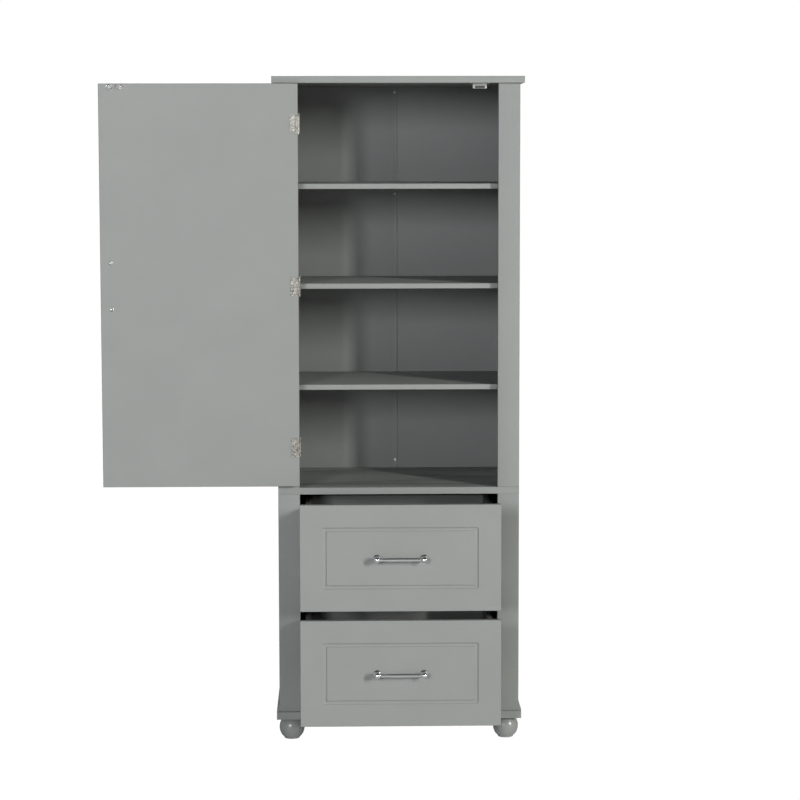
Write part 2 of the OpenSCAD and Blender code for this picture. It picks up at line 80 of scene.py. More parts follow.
def start_material(slot, colour, roughness, metallic=0.0, **sockets):
    """A material named after its slot, with the values that are the same all over it on the shader."""
    material = bpy.data.materials.new(slot)
    material.use_nodes = True
    shader = material.node_tree.nodes["Principled BSDF"]
    values = {"Base Color": (*colour, 1), "Roughness": roughness, "Metallic": metallic, **sockets}
    for name, value in values.items():
        shader.inputs[name].default_value = value
    return material


def add_node(owner, kind, **settings):
    """A new node in a material or in the world."""
    made = owner.node_tree.nodes.new(kind)
    for name, value in settings.items():
        setattr(made, name, value)
    return made


def remap(owner, value, low, high, to_low, to_high):
    """Runs from to_low to to_high as value runs from low to high. Each may be a number or an output."""
    made = add_node(owner, "ShaderNodeMapRange")
    given = {"Value": value, "From Min": low, "From Max": high, "To Min": to_low, "To Max": to_high}
    for name, setting in given.items():
        if isinstance(setting, bpy.types.NodeSocket):
            owner.node_tree.links.new(setting, made.inputs[name])
        else:
            made.inputs[name].default_value = setting
    return made.outputs["Result"]


def noise(material, scale, detail=3.0, stretch=(1, 1, 1)):
    """Noise over the piece, with that many features per metre, stretched along the axes."""
    tree = material.node_tree
    coordinates = add_node(material, "ShaderNodeTexCoord")
    mapping = add_node(material, "ShaderNodeMapping")
    mapping.inputs["Scale"].default_value = stretch
    made = add_node(material, "ShaderNodeTexNoise")
    made.inputs["Scale"].default_value = scale
    made.inputs["Detail"].default_value = detail
    tree.links.new(coordinates.outputs["Object"], mapping.inputs["Vector"])
    tree.links.new(mapping.outputs["Vector"], made.inputs["Vector"])
    return made.outputs["Fac"]


def shader_of(material):
    return material.node_tree.nodes["Principled BSDF"]


NOISE_LOW, NOISE_HIGH = 0.3, 0.7


def vary_roughness(material, pattern, low, high):
    spread = remap(material, pattern, NOISE_LOW, NOISE_HIGH, low, high)
    material.node_tree.links.new(spread, shader_of(material).inputs["Roughness"])


def vary_colour(material, pattern, dark, light, low=NOISE_LOW, high=NOISE_HIGH):
    """The base colour runs from dark to light as the pattern runs from low to high."""
    ramp = add_node(material, "ShaderNodeValToRGB")
    ramp.color_ramp.elements[0].position = low
    ramp.color_ramp.elements[0].color = (*dark, 1)
    ramp.color_ramp.elements[1].position = high
    ramp.color_ramp.elements[1].color = (*light, 1)
    material.node_tree.links.new(pattern, ramp.inputs["Fac"])
    material.node_tree.links.new(ramp.outputs["Color"], shader_of(material).inputs["Base Color"])


def add_bump(material, pattern, depth, strength=0.5):
    """Bumps whose height is depth in metres."""
    tree = material.node_tree
    bump = add_node(material, "ShaderNodeBump")
    bump.inputs["Strength"].default_value = strength
    bump.inputs["Distance"].default_value = depth
    tree.links.new(pattern, bump.inputs["Height"])
    tree.links.new(bump.outputs["Normal"], shader_of(material).inputs["Normal"])


def shade(colour, factor):
    return tuple(c * factor for c in colour)


PAINT = (0.214, 0.222, 0.217)
FOOT_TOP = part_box("front_left_foot")[1].z
FOOT_GLOSS = 0.6


def painted_board():
    """Sprayed satin lacquer: faintly cloudy, with a fine orange peel, and a gloss coat on the feet."""
    lacquer = {"Specular IOR Level": 0.34, "Coat Roughness": 0.24}
    material = start_material("painted_board", PAINT, 0.55, **lacquer)
    links = material.node_tree.links
    coordinates = add_node(material, "ShaderNodeTexCoord")
    split = add_node(material, "ShaderNodeSeparateXYZ")
    links.new(coordinates.outputs["Object"], split.inputs["Vector"])
    gloss = remap(material, split.outputs["Z"], FOOT_TOP - 0.5 * MM, FOOT_TOP, FOOT_GLOSS, 0.0)
    links.new(gloss, shader_of(material).inputs["Coat Weight"])
    vary_colour(material, noise(material, 7), shade(PAINT, 0.975), shade(PAINT, 1.025))
    vary_roughness(material, noise(material, 160), 0.5, 0.6)
    add_bump(material, noise(material, 420, 2), 0.06 * MM)
    return material


def drawer_box():
    """Foil-wrapped board, a little smoother than the lacquer, its colour the lacquer's darkened to 0.6 as
    painted shade for the gaps over the drawers.
    """
    # Painted shade: the factor 0.6 darkens the drawer box so the gaps over the drawers read as shadowed.
    colour = shade(PAINT, 0.6)
    material = start_material("drawer_box", colour, 0.5)
    vary_colour(material, noise(material, 18, 4, (1, 1, 4)), shade(colour, 0.96), shade(colour, 1.03))
    vary_roughness(material, noise(material, 240), 0.44, 0.56)
    add_bump(material, noise(material, 700, 2), 0.03 * MM)
    return material


def thin_panel():
    """Printed hardboard: flatter than the lacquer, with short fibres."""
    colour = shade(PAINT, 0.78)
    material = start_material("thin_panel", colour, 0.6, **{"Specular IOR Level": 0.25})
    vary_colour(material, noise(material, 60, 5, (1, 1, 0.6)), shade(colour, 0.99), shade(colour, 1.01))
    vary_roughness(material, noise(material, 90), 0.52, 0.6)
    add_bump(material, noise(material, 900, 3, (1, 1, 0.6)), 0.015 * MM)
    return material


def zinc_steel():
    """Bright zinc plate with faint spangle."""
    material = start_material("zinc_steel", (0.42, 0.42, 0.41), 0.35, 1.0)
    vary_colour(material, noise(material, 600, 4), (0.32, 0.32, 0.31), (0.52, 0.52, 0.5))
    vary_roughness(material, noise(material, 900), 0.26, 0.42)
    add_bump(material, noise(material, 1500, 2), 0.01 * MM)
    return material


def nickel_hinge():
    """Warm nickel plate with fine draw lines along the hinge, darkened and mottled in small patches as
    painted shade and reflection.
    """
    material = start_material("nickel_hinge", (0.3, 0.285, 0.26), 0.3, 1.0)
    lines = noise(material, 1800, 3, (1, 1, 0.04))
    # Painted shade and reflection: a dark, patchy base colour stands in for dark reflections instead of the
    # lit floor.
    vary_colour(material, noise(material, 330, 4), (0.06, 0.057, 0.05), (0.47, 0.45, 0.41))
    vary_roughness(material, lines, 0.24, 0.4)
    add_bump(material, lines, 0.01 * MM)
    return material


def chrome_pull():
    """Polished chrome with a trace of handling."""
    material = start_material("chrome_pull", (0.73, 0.74, 0.75), 0.1, 1.0)
    vary_colour(material, noise(material, 120, 4), (0.69, 0.7, 0.71), (0.77, 0.78, 0.79))
    vary_roughness(material, noise(material, 500, 5), 0.1, 0.18)
    add_bump(material, noise(material, 2500, 2), 0.002 * MM)
    return material


def bright_plate():
    """Bright nickel plate with rolling lines along it, darkened overall and in patches as painted shade and
    reflection.
    """
    material = start_material("bright_plate", (0.5, 0.5, 0.49), 0.12, 1.0)
    lines = noise(material, 1400, 3, (0.05, 1, 1))
    # Painted reflection and shade: darker, patchy colour in place of the plate's light and dark reflections.
    vary_colour(material, noise(material, 260, 3), (0.2, 0.2, 0.195), (0.7, 0.7, 0.69))
    vary_roughness(material, lines, 0.09, 0.15)
    add_bump(material, lines, 0.008 * MM)
    return material


def slide_enamel():
    """Off-white epoxy powder coat, slightly pebbled."""
    colour = (0.72, 0.72, 0.69)
    material = start_material("slide_enamel", colour, 0.35)
    vary_colour(material, noise(material, 40), shade(colour, 0.96), shade(colour, 1.03))
    vary_roughness(material, noise(material, 500), 0.3, 0.42)
    add_bump(material, noise(material, 1100, 2), 0.03 * MM)
    return material


def nylon():
    material = start_material("nylon", (0.8, 0.8, 0.77), 0.45)
    vary_colour(material, noise(material, 90), (0.74, 0.74, 0.71), (0.83, 0.83, 0.8))
    vary_roughness(material, noise(material, 700), 0.38, 0.52)
    add_bump(material, noise(material, 1600, 2), 0.01 * MM)
    return material


def catch_plastic():
    """Moulded white plastic with a fine spark-eroded grain, darkened to a light grey as painted shade for its
    recessed slot.
    """
    # Painted shade: the white plastic is darkened to 0.42 so the catch and its slot read as shadowed.
    colour = (0.42, 0.42, 0.405)
    material = start_material("catch_plastic", colour, 0.4)
    vary_colour(material, noise(material, 130), shade(colour, 0.95), shade(colour, 1.04))
    vary_roughness(material, noise(material, 800), 0.34, 0.5)
    add_bump(material, noise(material, 1800, 3), 0.02 * MM)
    return material


def magnet():
    """Dark sintered ferrite."""
    material = start_material("magnet", (0.035, 0.035, 0.04), 0.5)
    vary_colour(material, noise(material, 1500, 4), (0.02, 0.02, 0.022), (0.06, 0.06, 0.065))
    vary_roughness(material, noise(material, 900), 0.4, 0.62)
    add_bump(material, noise(material, 1900, 4), 0.02 * MM)
    return material


def timber(slot, dark, light, stretch):
    """Planed timber: broad growth bands with fine grain lines on them, both along the piece."""
    material = start_material(slot, light, 0.6)
    tree = material.node_tree
    bands = noise(material, 35, 3, stretch)
    lines = noise(material, 420, 5, stretch)
    blend = add_node(material, "ShaderNodeMath", operation="MULTIPLY_ADD")
    blend.inputs[1].default_value = 0.45
    tree.links.new(lines, blend.inputs[0])
    half = add_node(material, "ShaderNodeMath", operation="MULTIPLY")
    half.inputs[1].default_value = 0.55
    tree.links.new(bands, half.inputs[0])
    tree.links.new(half.outputs[0], blend.inputs[2])
    vary_colour(material, blend.outputs[0], dark, light, 0.4, 0.6)
    vary_roughness(material, lines, 0.52, 0.7)
    add_bump(material, lines, 0.08 * MM)
    return material


def bare_timber():
    return timber("bare_timber", (0.34, 0.22, 0.11), (0.56, 0.42, 0.25), (1, 0.06, 1))


def dowel_timber():
    return timber("dowel_timber", (0.42, 0.29, 0.16), (0.62, 0.47, 0.3), (1, 1, 0.06))


finishes = {
    make.__name__: make()
    for make in (
        painted_board, drawer_box, thin_panel, zinc_steel, nickel_hinge, chrome_pull, bright_plate,
        slide_enamel, nylon, catch_plastic, magnet, bare_timber, dowel_timber,
    )
}


# ---- Outlines and mesh helpers ----


def rounded(points, radius, steps=4, closed=False):
    """The outline through these points with its corners rounded to that radius."""
    corners = [Vector(p) for p in points]
    if closed:
        trios = [(corners[i - 1], corners[i], corners[(i + 1) % len(corners)]) for i in range(len(corners))]
    else:
        trios = list(zip(corners, corners[1:], corners[2:]))
    outline = []
    for before, corner, after in trios:
        to_before, to_after = before - corner, after - corner
        half = to_before.angle(to_after) / 2
        room = 0.48 * min(to_before.length, to_after.length)
        cut = min(radius / math.tan(half), room)
        middle = (to_before.normalized() + to_after.normalized()).normalized()
        centre = corner + middle * (cut / math.cos(half))
        first = corner + to_before.normalized() * cut - centre
        last = corner + to_after.normalized() * cut - centre
        sweep = math.pi - 2 * half
        for i in range(steps + 1):
            t = i / steps
            spoke = first * math.sin((1 - t) * sweep) + last * math.sin(t * sweep)
            outline.append(centre + spoke / math.sin(sweep))
    return outline if closed else [corners[0], *outline, corners[-1]]


def circle(centre, radius, points=32):
    turns = [math.tau * i / points for i in range(points)]
    return [Vector((centre[0] + radius * math.cos(a), centre[1] + radius * math.sin(a))) for a in turns]


def facing(towards, at):
    """The matrix that puts a shape drawn at the origin along +Z at a point, along another direction."""
    return Matrix.Translation(at) @ Vector(towards).to_track_quat("Z", "Y").to_matrix().to_4x4()


def join_rings(bm, rings, segments):
    """Faces between each ring of vertices and the next, where a ring may be a single point."""
    for ring, after in zip(rings, rings[1:]):
        for i in range(segments):
            j = (i + 1) % segments
            loop = [ring[i % len(ring)], ring[j % len(ring)], after[j % len(after)], after[i % len(after)]]
            loop = list(dict.fromkeys(loop))
            if len(loop) > 2:
                bm.faces.new(loop)


def lathe(bm, outline, at, towards, segments=48):
    """Turns an outline of (radius, distance along the axis) about the axis through at."""
    place = facing(towards, at)
    rings = []
    for radius, along in outline:
        if radius < 1e-9:
            rings.append([bm.verts.new(place @ Vector((0, 0, along)))])
            continue
        ring = []
        for i in range(segments):
            turn = math.tau * i / segments
            spoke = Vector((radius * math.cos(turn), radius * math.sin(turn), along))
            ring.append(bm.verts.new(place @ spoke))
        rings.append(ring)
    join_rings(bm, rings, segments)


def plate(bm, outlines, thickness, edge, place):
    """Flat plate with rounded edges: the first outline is its edge and the others are its holes.
    It's drawn in the XY plane of place, from z = 0 to the thickness."""
    curve = bpy.data.curves.new("plate", "CURVE")
    curve.dimensions = "2D"
    curve.fill_mode = "BOTH"
    curve.extrude = thickness / 2 - edge
    curve.bevel_depth = edge
    curve.bevel_resolution = 2
    curve.offset = -edge
    for outline in outlines:
        spline = curve.splines.new("POLY")
        spline.points.add(len(outline) - 1)
        for point, corner in zip(spline.points, outline):
            point.co = (corner[0], corner[1], 0, 1)
        spline.use_cyclic_u = True
    drawn = bpy.data.objects.new("plate", curve)
    mesh = bpy.data.meshes.new_from_object(drawn)
    mesh.transform(place @ Matrix.Translation((0, 0, thickness / 2)))
    bm.from_mesh(mesh)
    bpy.data.objects.remove(drawn)
    bpy.data.meshes.remove(mesh)
    bpy.data.curves.remove(curve)


def block(bm, lo, hi, edge, steps=3):
    """Box between two corners with rounded edges."""
    made = bmesh.ops.create_cube(bm, size=1)["verts"]
    size = Vector(hi) - Vector(lo)
    bmesh.ops.scale(bm, vec=size, verts=made)
    bmesh.ops.translate(bm, vec=(Vector(hi) + Vector(lo)) / 2, verts=made)
    edges = list({e for v in made for e in v.link_edges})
    bmesh.ops.bevel(bm, geom=edges, offset=edge, segments=steps, profile=0.5, affect="EDGES")


def cross_depth(x, y, arm, width):
    """1 inside a cross recess and 0 outside it, with sloping walls."""
    inside = min(max(abs(x) / width, abs(y) / arm), max(abs(y) / width, abs(x) / arm))
    return min(1.0, max(0.0, (1.3 - inside) / 0.6))


def screw(bm, at, towards, head_r, shank_r, length, dome, rim=0.0):
    """Cross-recessed screw, its head facing towards. A countersunk head has no rim, a pan head has one."""
    place = facing(towards, at)
    rings, segments = 12, 48
    arm, width, sunk = 0.62 * head_r, 0.17 * head_r, 0.34 * head_r
    made = []
    for k in range(rings + 1):
        r = head_r * k / rings
        ring = []
        for i in range(segments if k else 1):
            turn = math.tau * i / segments
            x, y = r * math.cos(turn), r * math.sin(turn)
            height = rim + dome * (1 - (r / head_r) ** 2) - sunk * cross_depth(x, y, arm, width)
            ring.append(bm.verts.new(place @ Vector((x, y, height))))
        made.append(ring)
    neck = -0.4 * head_r if rim == 0 else 0
    for radius, along in ((head_r, 0), (shank_r, neck), (shank_r, -length + 2 * shank_r), (0, -length)):
        if rim == 0 and radius == head_r:
            continue
        count = segments if radius else 1
        spokes = [(radius * math.cos(math.tau * i / segments), radius * math.sin(math.tau * i / segments))
                  for i in range(count)]
        made.append([bm.verts.new(place @ Vector((x, y, along))) for x, y in spokes])
    join_rings(bm, made, segments)


def add_piece(name, bm, *replaced, sharp=35):
    """Turns a finished mesh into a piece that stands for CAD nodes and rides on their body."""
    bmesh.ops.remove_doubles(bm, verts=bm.verts, dist=1e-6)
    bmesh.ops.recalc_face_normals(bm, faces=bm.faces)
    mesh = bpy.data.meshes.new(name)
    bm.to_mesh(mesh)
    bm.free()
    slot = slot_of[replaced[0]]
    mesh.materials.append(finishes[slot])
    mesh.polygons.foreach_set("use_smooth", [True] * len(mesh.polygons))
    mesh.set_sharp_from_angle(angle=math.radians(sharp))
    piece = bpy.data.objects.new(name, mesh)
    bpy.context.scene.collection.objects.link(piece)
    normals = piece.modifiers.new("face weighted normals", "WEIGHTED_NORMAL")
    normals.keep_sharp = True
    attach(piece, cad[replaced[0]]["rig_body"])
    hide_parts(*replaced)


def finish_node(name, edge):
    """Gives a CAD node its material and eases its edges, without touching its mesh."""
    node = cad[name]
    node.data.materials.clear()
    node.data.materials.append(finishes[slot_of[name]])
    node.data.polygons.foreach_set("use_smooth", [True] * len(node.data.polygons))
    weld = node.modifiers.new("weld", "WELD")
    weld.merge_threshold = 0.002 * MM
    flats = node.modifiers.new("flats", "DECIMATE")
    flats.decimate_type = "DISSOLVE"
    flats.angle_limit = math.radians(0.4)
    ease = node.modifiers.new("eased edges", "BEVEL")
    ease.width = edge
    ease.segments = 3
    ease.limit_method = "ANGLE"
    ease.angle_limit = math.radians(40)
    ease.harden_normals = True


# ---- Boards kept from the CAD model ----

EASED = {
    1.2 * MM: (
        "top_board", "mid_board", "base_board", "upper_side_left", "upper_side_right", "lower_side_left",
        "lower_side_right", "upper_stile_left", "upper_stile_right", "lower_stile_left",
        "lower_stile_right", "drawer_rail", "lower_shelf", "middle_shelf", "upper_shelf",
    ),
    0.8 * MM: (
        "upper_drawer_sides", "upper_drawer_back", "lower_drawer_sides", "lower_drawer_back",
        "slide_cleats",
    ),
    0.3 * MM: (
        "upper_back_left", "upper_back_right", "lower_back", "upper_drawer_bottom",
        "lower_drawer_bottom", "left_cove_moulding", "right_cove_moulding", "back_joint_strip",
        "slide_channels", "upper_drawer_runners", "lower_drawer_runners", "channel_rollers",
        "dowels", "foot_studs", "shelf_pins", "hinge_pins",
    ),
}
for edge, names in EASED.items():
    for name in names:
        finish_node(name, edge)


# ---- Door and drawer fronts: eased edges and a routed groove ----

GROOVE_MARGIN = 53 * MM
GROOVE_W = 10 * MM
GROOVE_DEPTH = 2.5 * MM
FRONT_EDGE = 1.6 * MM


def front_profile(thickness):
    """From the middle of the plain face round the edge to the middle of the grooved face:
    (inset from the edge, distance from the plain face, corner radius) of each ring."""
    edge = FRONT_EDGE
    rings = []
    for i in range(5):
        turn = math.pi / 2 * i / 4
        inset = edge * (1 - math.sin(turn))
        rings.append((inset, edge * (1 - math.cos(turn)), edge - inset))
    for inset, along, radius in reversed(rings[:]):
        rings.append((inset, thickness - along, radius))
    half = GROOVE_W / 2
    cutter = (half**2 + GROOVE_DEPTH**2) / (2 * GROOVE_DEPTH)
    steps = 12
    for i in range(steps + 1):
        offset = half - GROOVE_W * i / steps
        sunk = math.sqrt(cutter**2 - offset**2) - cutter + GROOVE_DEPTH
        rings.append((GROOVE_MARGIN + half - offset, thickness - sunk, max(offset, 0)))
    return rings


def routed_front(node, side):
    """A front with its groove on the face towards side, -1 for -Y and 1 for +Y."""
    lo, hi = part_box(node)
    centre, half = (lo + hi) / 2, (hi - lo) / 2
    bm = bmesh.new()
    loops = []
    for inset, along, radius in front_profile(2 * half.y):
        w, h = half.x - inset - radius, half.z - inset - radius
        loop = []
        for quarter, (sx, sz) in enumerate(((1, 1), (-1, 1), (-1, -1), (1, -1))):
            for i in range(7):
                turn = math.pi / 2 * (quarter + i / 6)
                x = sx * w + radius * math.cos(turn)
                z = sz * h + radius * math.sin(turn)
                loop.append(bm.verts.new(centre + Vector((x, side * (along - half.y), z))))
        loops.append(loop)
    for loop, after in zip(loops, loops[1:]):
        for i in range(len(loop)):
            j = (i + 1) % len(loop)
            bm.faces.new((loop[i], loop[j], after[j], after[i]))
    bm.faces.new(loops[0])
    bm.faces.new(loops[-1])
    add_piece(node + "_routed", bm, node)


routed_front("door_panel", 1)
routed_front("upper_drawer_front", -1)
routed_front("lower_drawer_front", -1)


# ---- Pulls: turned posts and balls with a swelling bar ----

PULL_REACH = 22 * MM
PULL_SPACING = 110 * MM
BALL_R = 8.2 * MM
BAR_R = 4.0 * MM
BAR_SWELL = 1.3 * MM


def pull(node, out, along):
    """A pull that stands off its face in direction out, with its bar in direction along."""
    lo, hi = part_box(node)
    out, along = Vector(out), Vector(along)
    face = (lo + hi) / 2 - out * abs((hi - lo).dot(out)) / 2
    bm = bmesh.new()
    flange = rounded(
        [(0, 0), (9, 0), (9, 1.6), (7, 3.2), (4.6, 4.6), (4.1, 9), (4.8, 12.4), (5.6, 12.9), (5.6, 14.2),
         (4.4, 14.8), (4.4, 18), (0, 18)], 0.5, 3)
    rosette = [(r * MM, a * MM) for r, a in flange]
    ball = [(BALL_R * math.sin(math.pi * i / 32), -BALL_R * math.cos(math.pi * i / 32)) for i in range(33)]
    for side in (-1, 1):
        foot = face + along * side * PULL_SPACING / 2
        lathe(bm, rosette, foot, out, 64)
        lathe(bm, ball, foot + out * PULL_REACH, out, 64)
    reach = PULL_SPACING / 2 - 7 * MM
    bar = [(0, -reach)]
    for i in range(33):
        share = i / 32
        swell = math.sin(math.pi * share) ** 0.8
        bar.append((BAR_R + BAR_SWELL * swell, reach * (2 * share - 1)))
    bar.append((0, reach))
    middle = face + out * PULL_REACH
    lathe(bm, bar, middle, along, 48)
    collar = rounded([(0, -1.1), (4.7, -1.1), (4.7, 1.1), (0, 1.1)], 0.7, 3)
    for side in (-1, 1):
        at = middle + along * side * (reach - 1.4 * MM)
        lathe(bm, [(r * MM, a * MM) for r, a in collar], at, along, 48)
    add_piece(node + "_turned", bm, node)


pull("door_pull", (0, 1, 0), (0, 0, 1))
pull("upper_drawer_pull", (0, -1, 0), (1, 0, 0))
pull("lower_drawer_pull", (0, -1, 0), (1, 0, 0))


def pull_screws(node, out, along, head):
    """The two machine screws of a pull; head is the place of the heads' seat along Y."""
    lo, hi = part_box(node)
    middle = (lo + hi) / 2
    middle.y = head
    bm = bmesh.new()
    for side in (-1, 1):
        at = middle + Vector(along) * side * PULL_SPACING / 2
        screw(bm, at, out, 4.9 * MM, 1.95 * MM, 26 * MM, 1.1 * MM, 1.1 * MM)
    add_piece(node + "_turned", bm, node)


pull_screws("door_pull_screws", (0, -1, 0), Z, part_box("door_panel")[0].y)
pull_screws("upper_drawer_pull_screws", (0, 1, 0), X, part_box("upper_drawer_front")[1].y)
pull_screws("lower_drawer_pull_screws", (0, 1, 0), X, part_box("lower_drawer_front")[1].y)


# ---- Hinges ----

LEAF_T = 1.2 * MM
LEAF_W = 19 * MM
KNUCKLE_R = 3 * MM
KNUCKLES = 5
PIN_BORE_R = 1.56 * MM
STRIP_GAP = 0.3 * MM
HINGE_SCREW_Z = 15 * MM
SCREW_HEAD_R = 3 * MM
SCREW_R = 1.5 * MM
SCREW_LEN = 13 * MM
HEIGHTS = ("lower", "middle", "upper")

axis_lo, axis_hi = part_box("hinge_pins")
hinge_x = (axis_lo.x + axis_hi.x) / 2
hinge_y = (axis_lo.y + axis_hi.y) / 2
door_lo, door_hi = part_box("door_panel")
stile_lo, stile_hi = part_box("upper_stile_left")
hinge_z = {h: sum((c.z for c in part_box(h + "_hinge_door_leaf")), 0.0) / 2 for h in HEIGHTS}
hinge_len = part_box("lower_hinge_door_leaf")[1].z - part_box("lower_hinge_door_leaf")[0].z


def knuckles(bm, z, first):
    """Rolled knuckles of one leaf, each with eased ends and a bore for the pin."""
    pitch = hinge_len / KNUCKLES
    length = pitch - 0.35 * MM
    ease = 0.35 * MM
    ends = [(PIN_BORE_R, 0), (KNUCKLE_R, 0), (KNUCKLE_R, length), (PIN_BORE_R, length)]
    outline = rounded(ends, ease, 3)
    outline.append(outline[0])
    for k in range(first, KNUCKLES, 2):
        at = Vector((hinge_x, hinge_y, z - hinge_len / 2 + k * pitch + (pitch - length) / 2))
        lathe(bm, outline, at, Z, 40)


def knuckle_strips(bm, z, first, x, near_y, far_y):
    """The strips that join one leaf to its knuckles."""
    pitch = hinge_len / KNUCKLES
    for k in range(first, KNUCKLES, 2):
        low = z - hinge_len / 2 + k * pitch + STRIP_GAP
        block(bm, (x, near_y, low), (x + LEAF_T, far_y, low + pitch - 2 * STRIP_GAP), 0.2 * MM)


def leaf_holes(middle):
    """Outlines of the two screw holes of a leaf, as (across, up) from the middle of its height."""
    return [circle((middle, side * HINGE_SCREW_Z), SCREW_HEAD_R + 0.15 * MM) for side in (-1, 1)]


def leaf_outline(x0, x1):
    half = hinge_len / 2
    return rounded([(x0, -half), (x1, -half), (x1, half), (x0, half)], 1.5 * MM, 4, closed=True)


def door_leaf(height):
    """Leaf that wraps round the door's edge on to its inner face, with its two knuckle strips."""
    z = hinge_z[height]
    bm = bmesh.new()
    face_y = door_lo.y
    on_face = Matrix(((1, 0, 0, door_hi.x), (0, 0, -1, face_y), (0, 1, 0, z), (0, 0, 0, 1)))
    plate(bm, [leaf_outline(-LEAF_W, LEAF_T), *leaf_holes(-LEAF_W / 2)], LEAF_T, 0.25 * MM, on_face)
    half = hinge_len / 2
    edge_lo = Vector((door_hi.x, face_y - LEAF_T * 0.6, z - half))
    edge_hi = Vector((door_hi.x + LEAF_T, door_hi.y + 0.4 * MM, z + half))
    block(bm, edge_lo, edge_hi, 0.3 * MM)
    knuckles(bm, z, 1)
    knuckle_strips(bm, z, 1, door_hi.x, door_hi.y, hinge_y + 0.5 * MM)
    name = height + "_hinge_door_leaf"
    add_piece(name + "_pressed", bm, name)


def frame_leaf(height):
    """Leaf on the inner edge of the stile."""
    z = hinge_z[height]
    bm = bmesh.new()
    on_edge = Matrix(((0, 0, 1, stile_hi.x), (1, 0, 0, stile_lo.y), (0, 1, 0, z), (0, 0, 0, 1)))
    depth = stile_hi.y - stile_lo.y
    plate(bm, [leaf_outline(0, depth), *leaf_holes(depth / 2 + 1 * MM)], LEAF_T, 0.25 * MM, on_edge)
    knuckles(bm, z, 0)
    knuckle_strips(bm, z, 0, stile_hi.x, hinge_y - 0.5 * MM, stile_lo.y + 1.5 * MM)
    name = height + "_hinge_frame_leaf"
    add_piece(name + "_pressed", bm, name)


for height in HEIGHTS:
    door_leaf(height)
    frame_leaf(height)


# ---- Strike plate and magnetic catch ----

STRIKE_SCREW_X = 12 * MM
CATCH_HALF_W = 16.5 * MM
CATCH_SCREW_X = 19.7 * MM
CATCH_EAR_T = 2 * MM
strike_lo, strike_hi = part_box("strike_plate")
strike_x = (strike_lo.x + strike_hi.x) / 2
strike_z = (strike_lo.z + strike_hi.z) / 2


def strike_plate():
    """Plate with round ends, two screw holes and a pressed rib between them."""
    bm = bmesh.new()
    half_w, half_h = (strike_hi.x - strike_lo.x) / 2, (strike_hi.z - strike_lo.z) / 2
    thickness = strike_hi.y - strike_lo.y
    ends = [(-half_w, -half_h), (half_w, -half_h), (half_w, half_h), (-half_w, half_h)]
    outline = rounded(ends, half_h * 0.94, 10, closed=True)
    holes = [circle((side * STRIKE_SCREW_X, 0), SCREW_HEAD_R + 0.2 * MM) for side in (-1, 1)]
    on_door = Matrix(((1, 0, 0, strike_x), (0, 0, -1, strike_hi.y), (0, 1, 0, strike_z), (0, 0, 0, 1)))
    plate(bm, [outline, *holes], thickness * 0.75, 0.3 * MM, on_door)
    rib = rounded([(-5 * MM, -3.4 * MM), (5 * MM, -3.4 * MM), (5 * MM, 3.4 * MM), (-5 * MM, 3.4 * MM)],
                  3 * MM, 6, closed=True)
    plate(bm, [rib], thickness, 0.35 * MM, on_door)
    add_piece("strike_plate_pressed", bm, "strike_plate")


def catch():
    """Moulded housing with a screw ear on each side, and the magnet between its two pole plates."""
    lo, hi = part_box("catch_body")
    magnet_lo, magnet_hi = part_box("catch_magnet")
    middle_x = (lo.x + hi.x) / 2
    half, height = CATCH_HALF_W, hi.z - lo.z
    bm = bmesh.new()
    outline = rounded([(-half, 0), (half, 0), (half, -height), (-half, -height)], 2.6 * MM, 6, closed=True)
    slot_half = (magnet_hi.x - magnet_lo.x) / 2
    top, bottom = magnet_hi.z - hi.z, magnet_lo.z - hi.z
    slot = [(-slot_half, top), (slot_half, top), (slot_half, bottom), (-slot_half, bottom)]
    on_front = Matrix(((1, 0, 0, middle_x), (0, 0, -1, magnet_hi.y), (0, 1, 0, hi.z), (0, 0, 0, 1)))
    plate(bm, [outline, slot], magnet_hi.y - lo.y, 0.2 * MM, on_front)
    block(bm, (middle_x - half + 1 * MM, magnet_hi.y, lo.z + 1 * MM),
          (middle_x + half - 1 * MM, hi.y, hi.z), 0.8 * MM)
    ear_half, ear_in = (hi.x - lo.x) / 2, 1.5 * MM
    ear = rounded([(-ear_half, ear_in), (ear_half, ear_in), (ear_half, hi.y - lo.y - ear_in),
                   (-ear_half, hi.y - lo.y - ear_in)], 3 * MM, 6, closed=True)
    ear_y = (hi.y - lo.y) / 2
    holes = [circle((side * CATCH_SCREW_X, ear_y), SCREW_HEAD_R + 0.2 * MM) for side in (-1, 1)]
    under_top = Matrix.Translation((middle_x, lo.y, hi.z - CATCH_EAR_T))
    plate(bm, [ear, *holes], CATCH_EAR_T, 0.4 * MM, under_top)
    add_piece("catch_body_moulded", bm, "catch_body")
    bm = bmesh.new()
    pole, sunk = 1.2 * MM, 0.6 * MM
    for low, high, back in ((magnet_lo.z, magnet_lo.z + pole, 0),
                            (magnet_lo.z + pole, magnet_hi.z - pole, sunk),
                            (magnet_hi.z - pole, magnet_hi.z, 0)):
        block(bm, (magnet_lo.x, magnet_lo.y + back, low), (magnet_hi.x, magnet_hi.y, high), 0.1 * MM, 2)
    add_piece("catch_magnet_and_poles", bm, "catch_magnet")


strike_plate()
catch()


# ---- Screws ----


STRIP_HEAD_R = 3 * MM
STRIP_SCREW_R = 0.8 * MM
STRIP_SCREW_LEN = 5 * MM
STRIP_HEAD_DOME = 0.5 * MM
STRIP_HEAD_RIM = 0.6 * MM


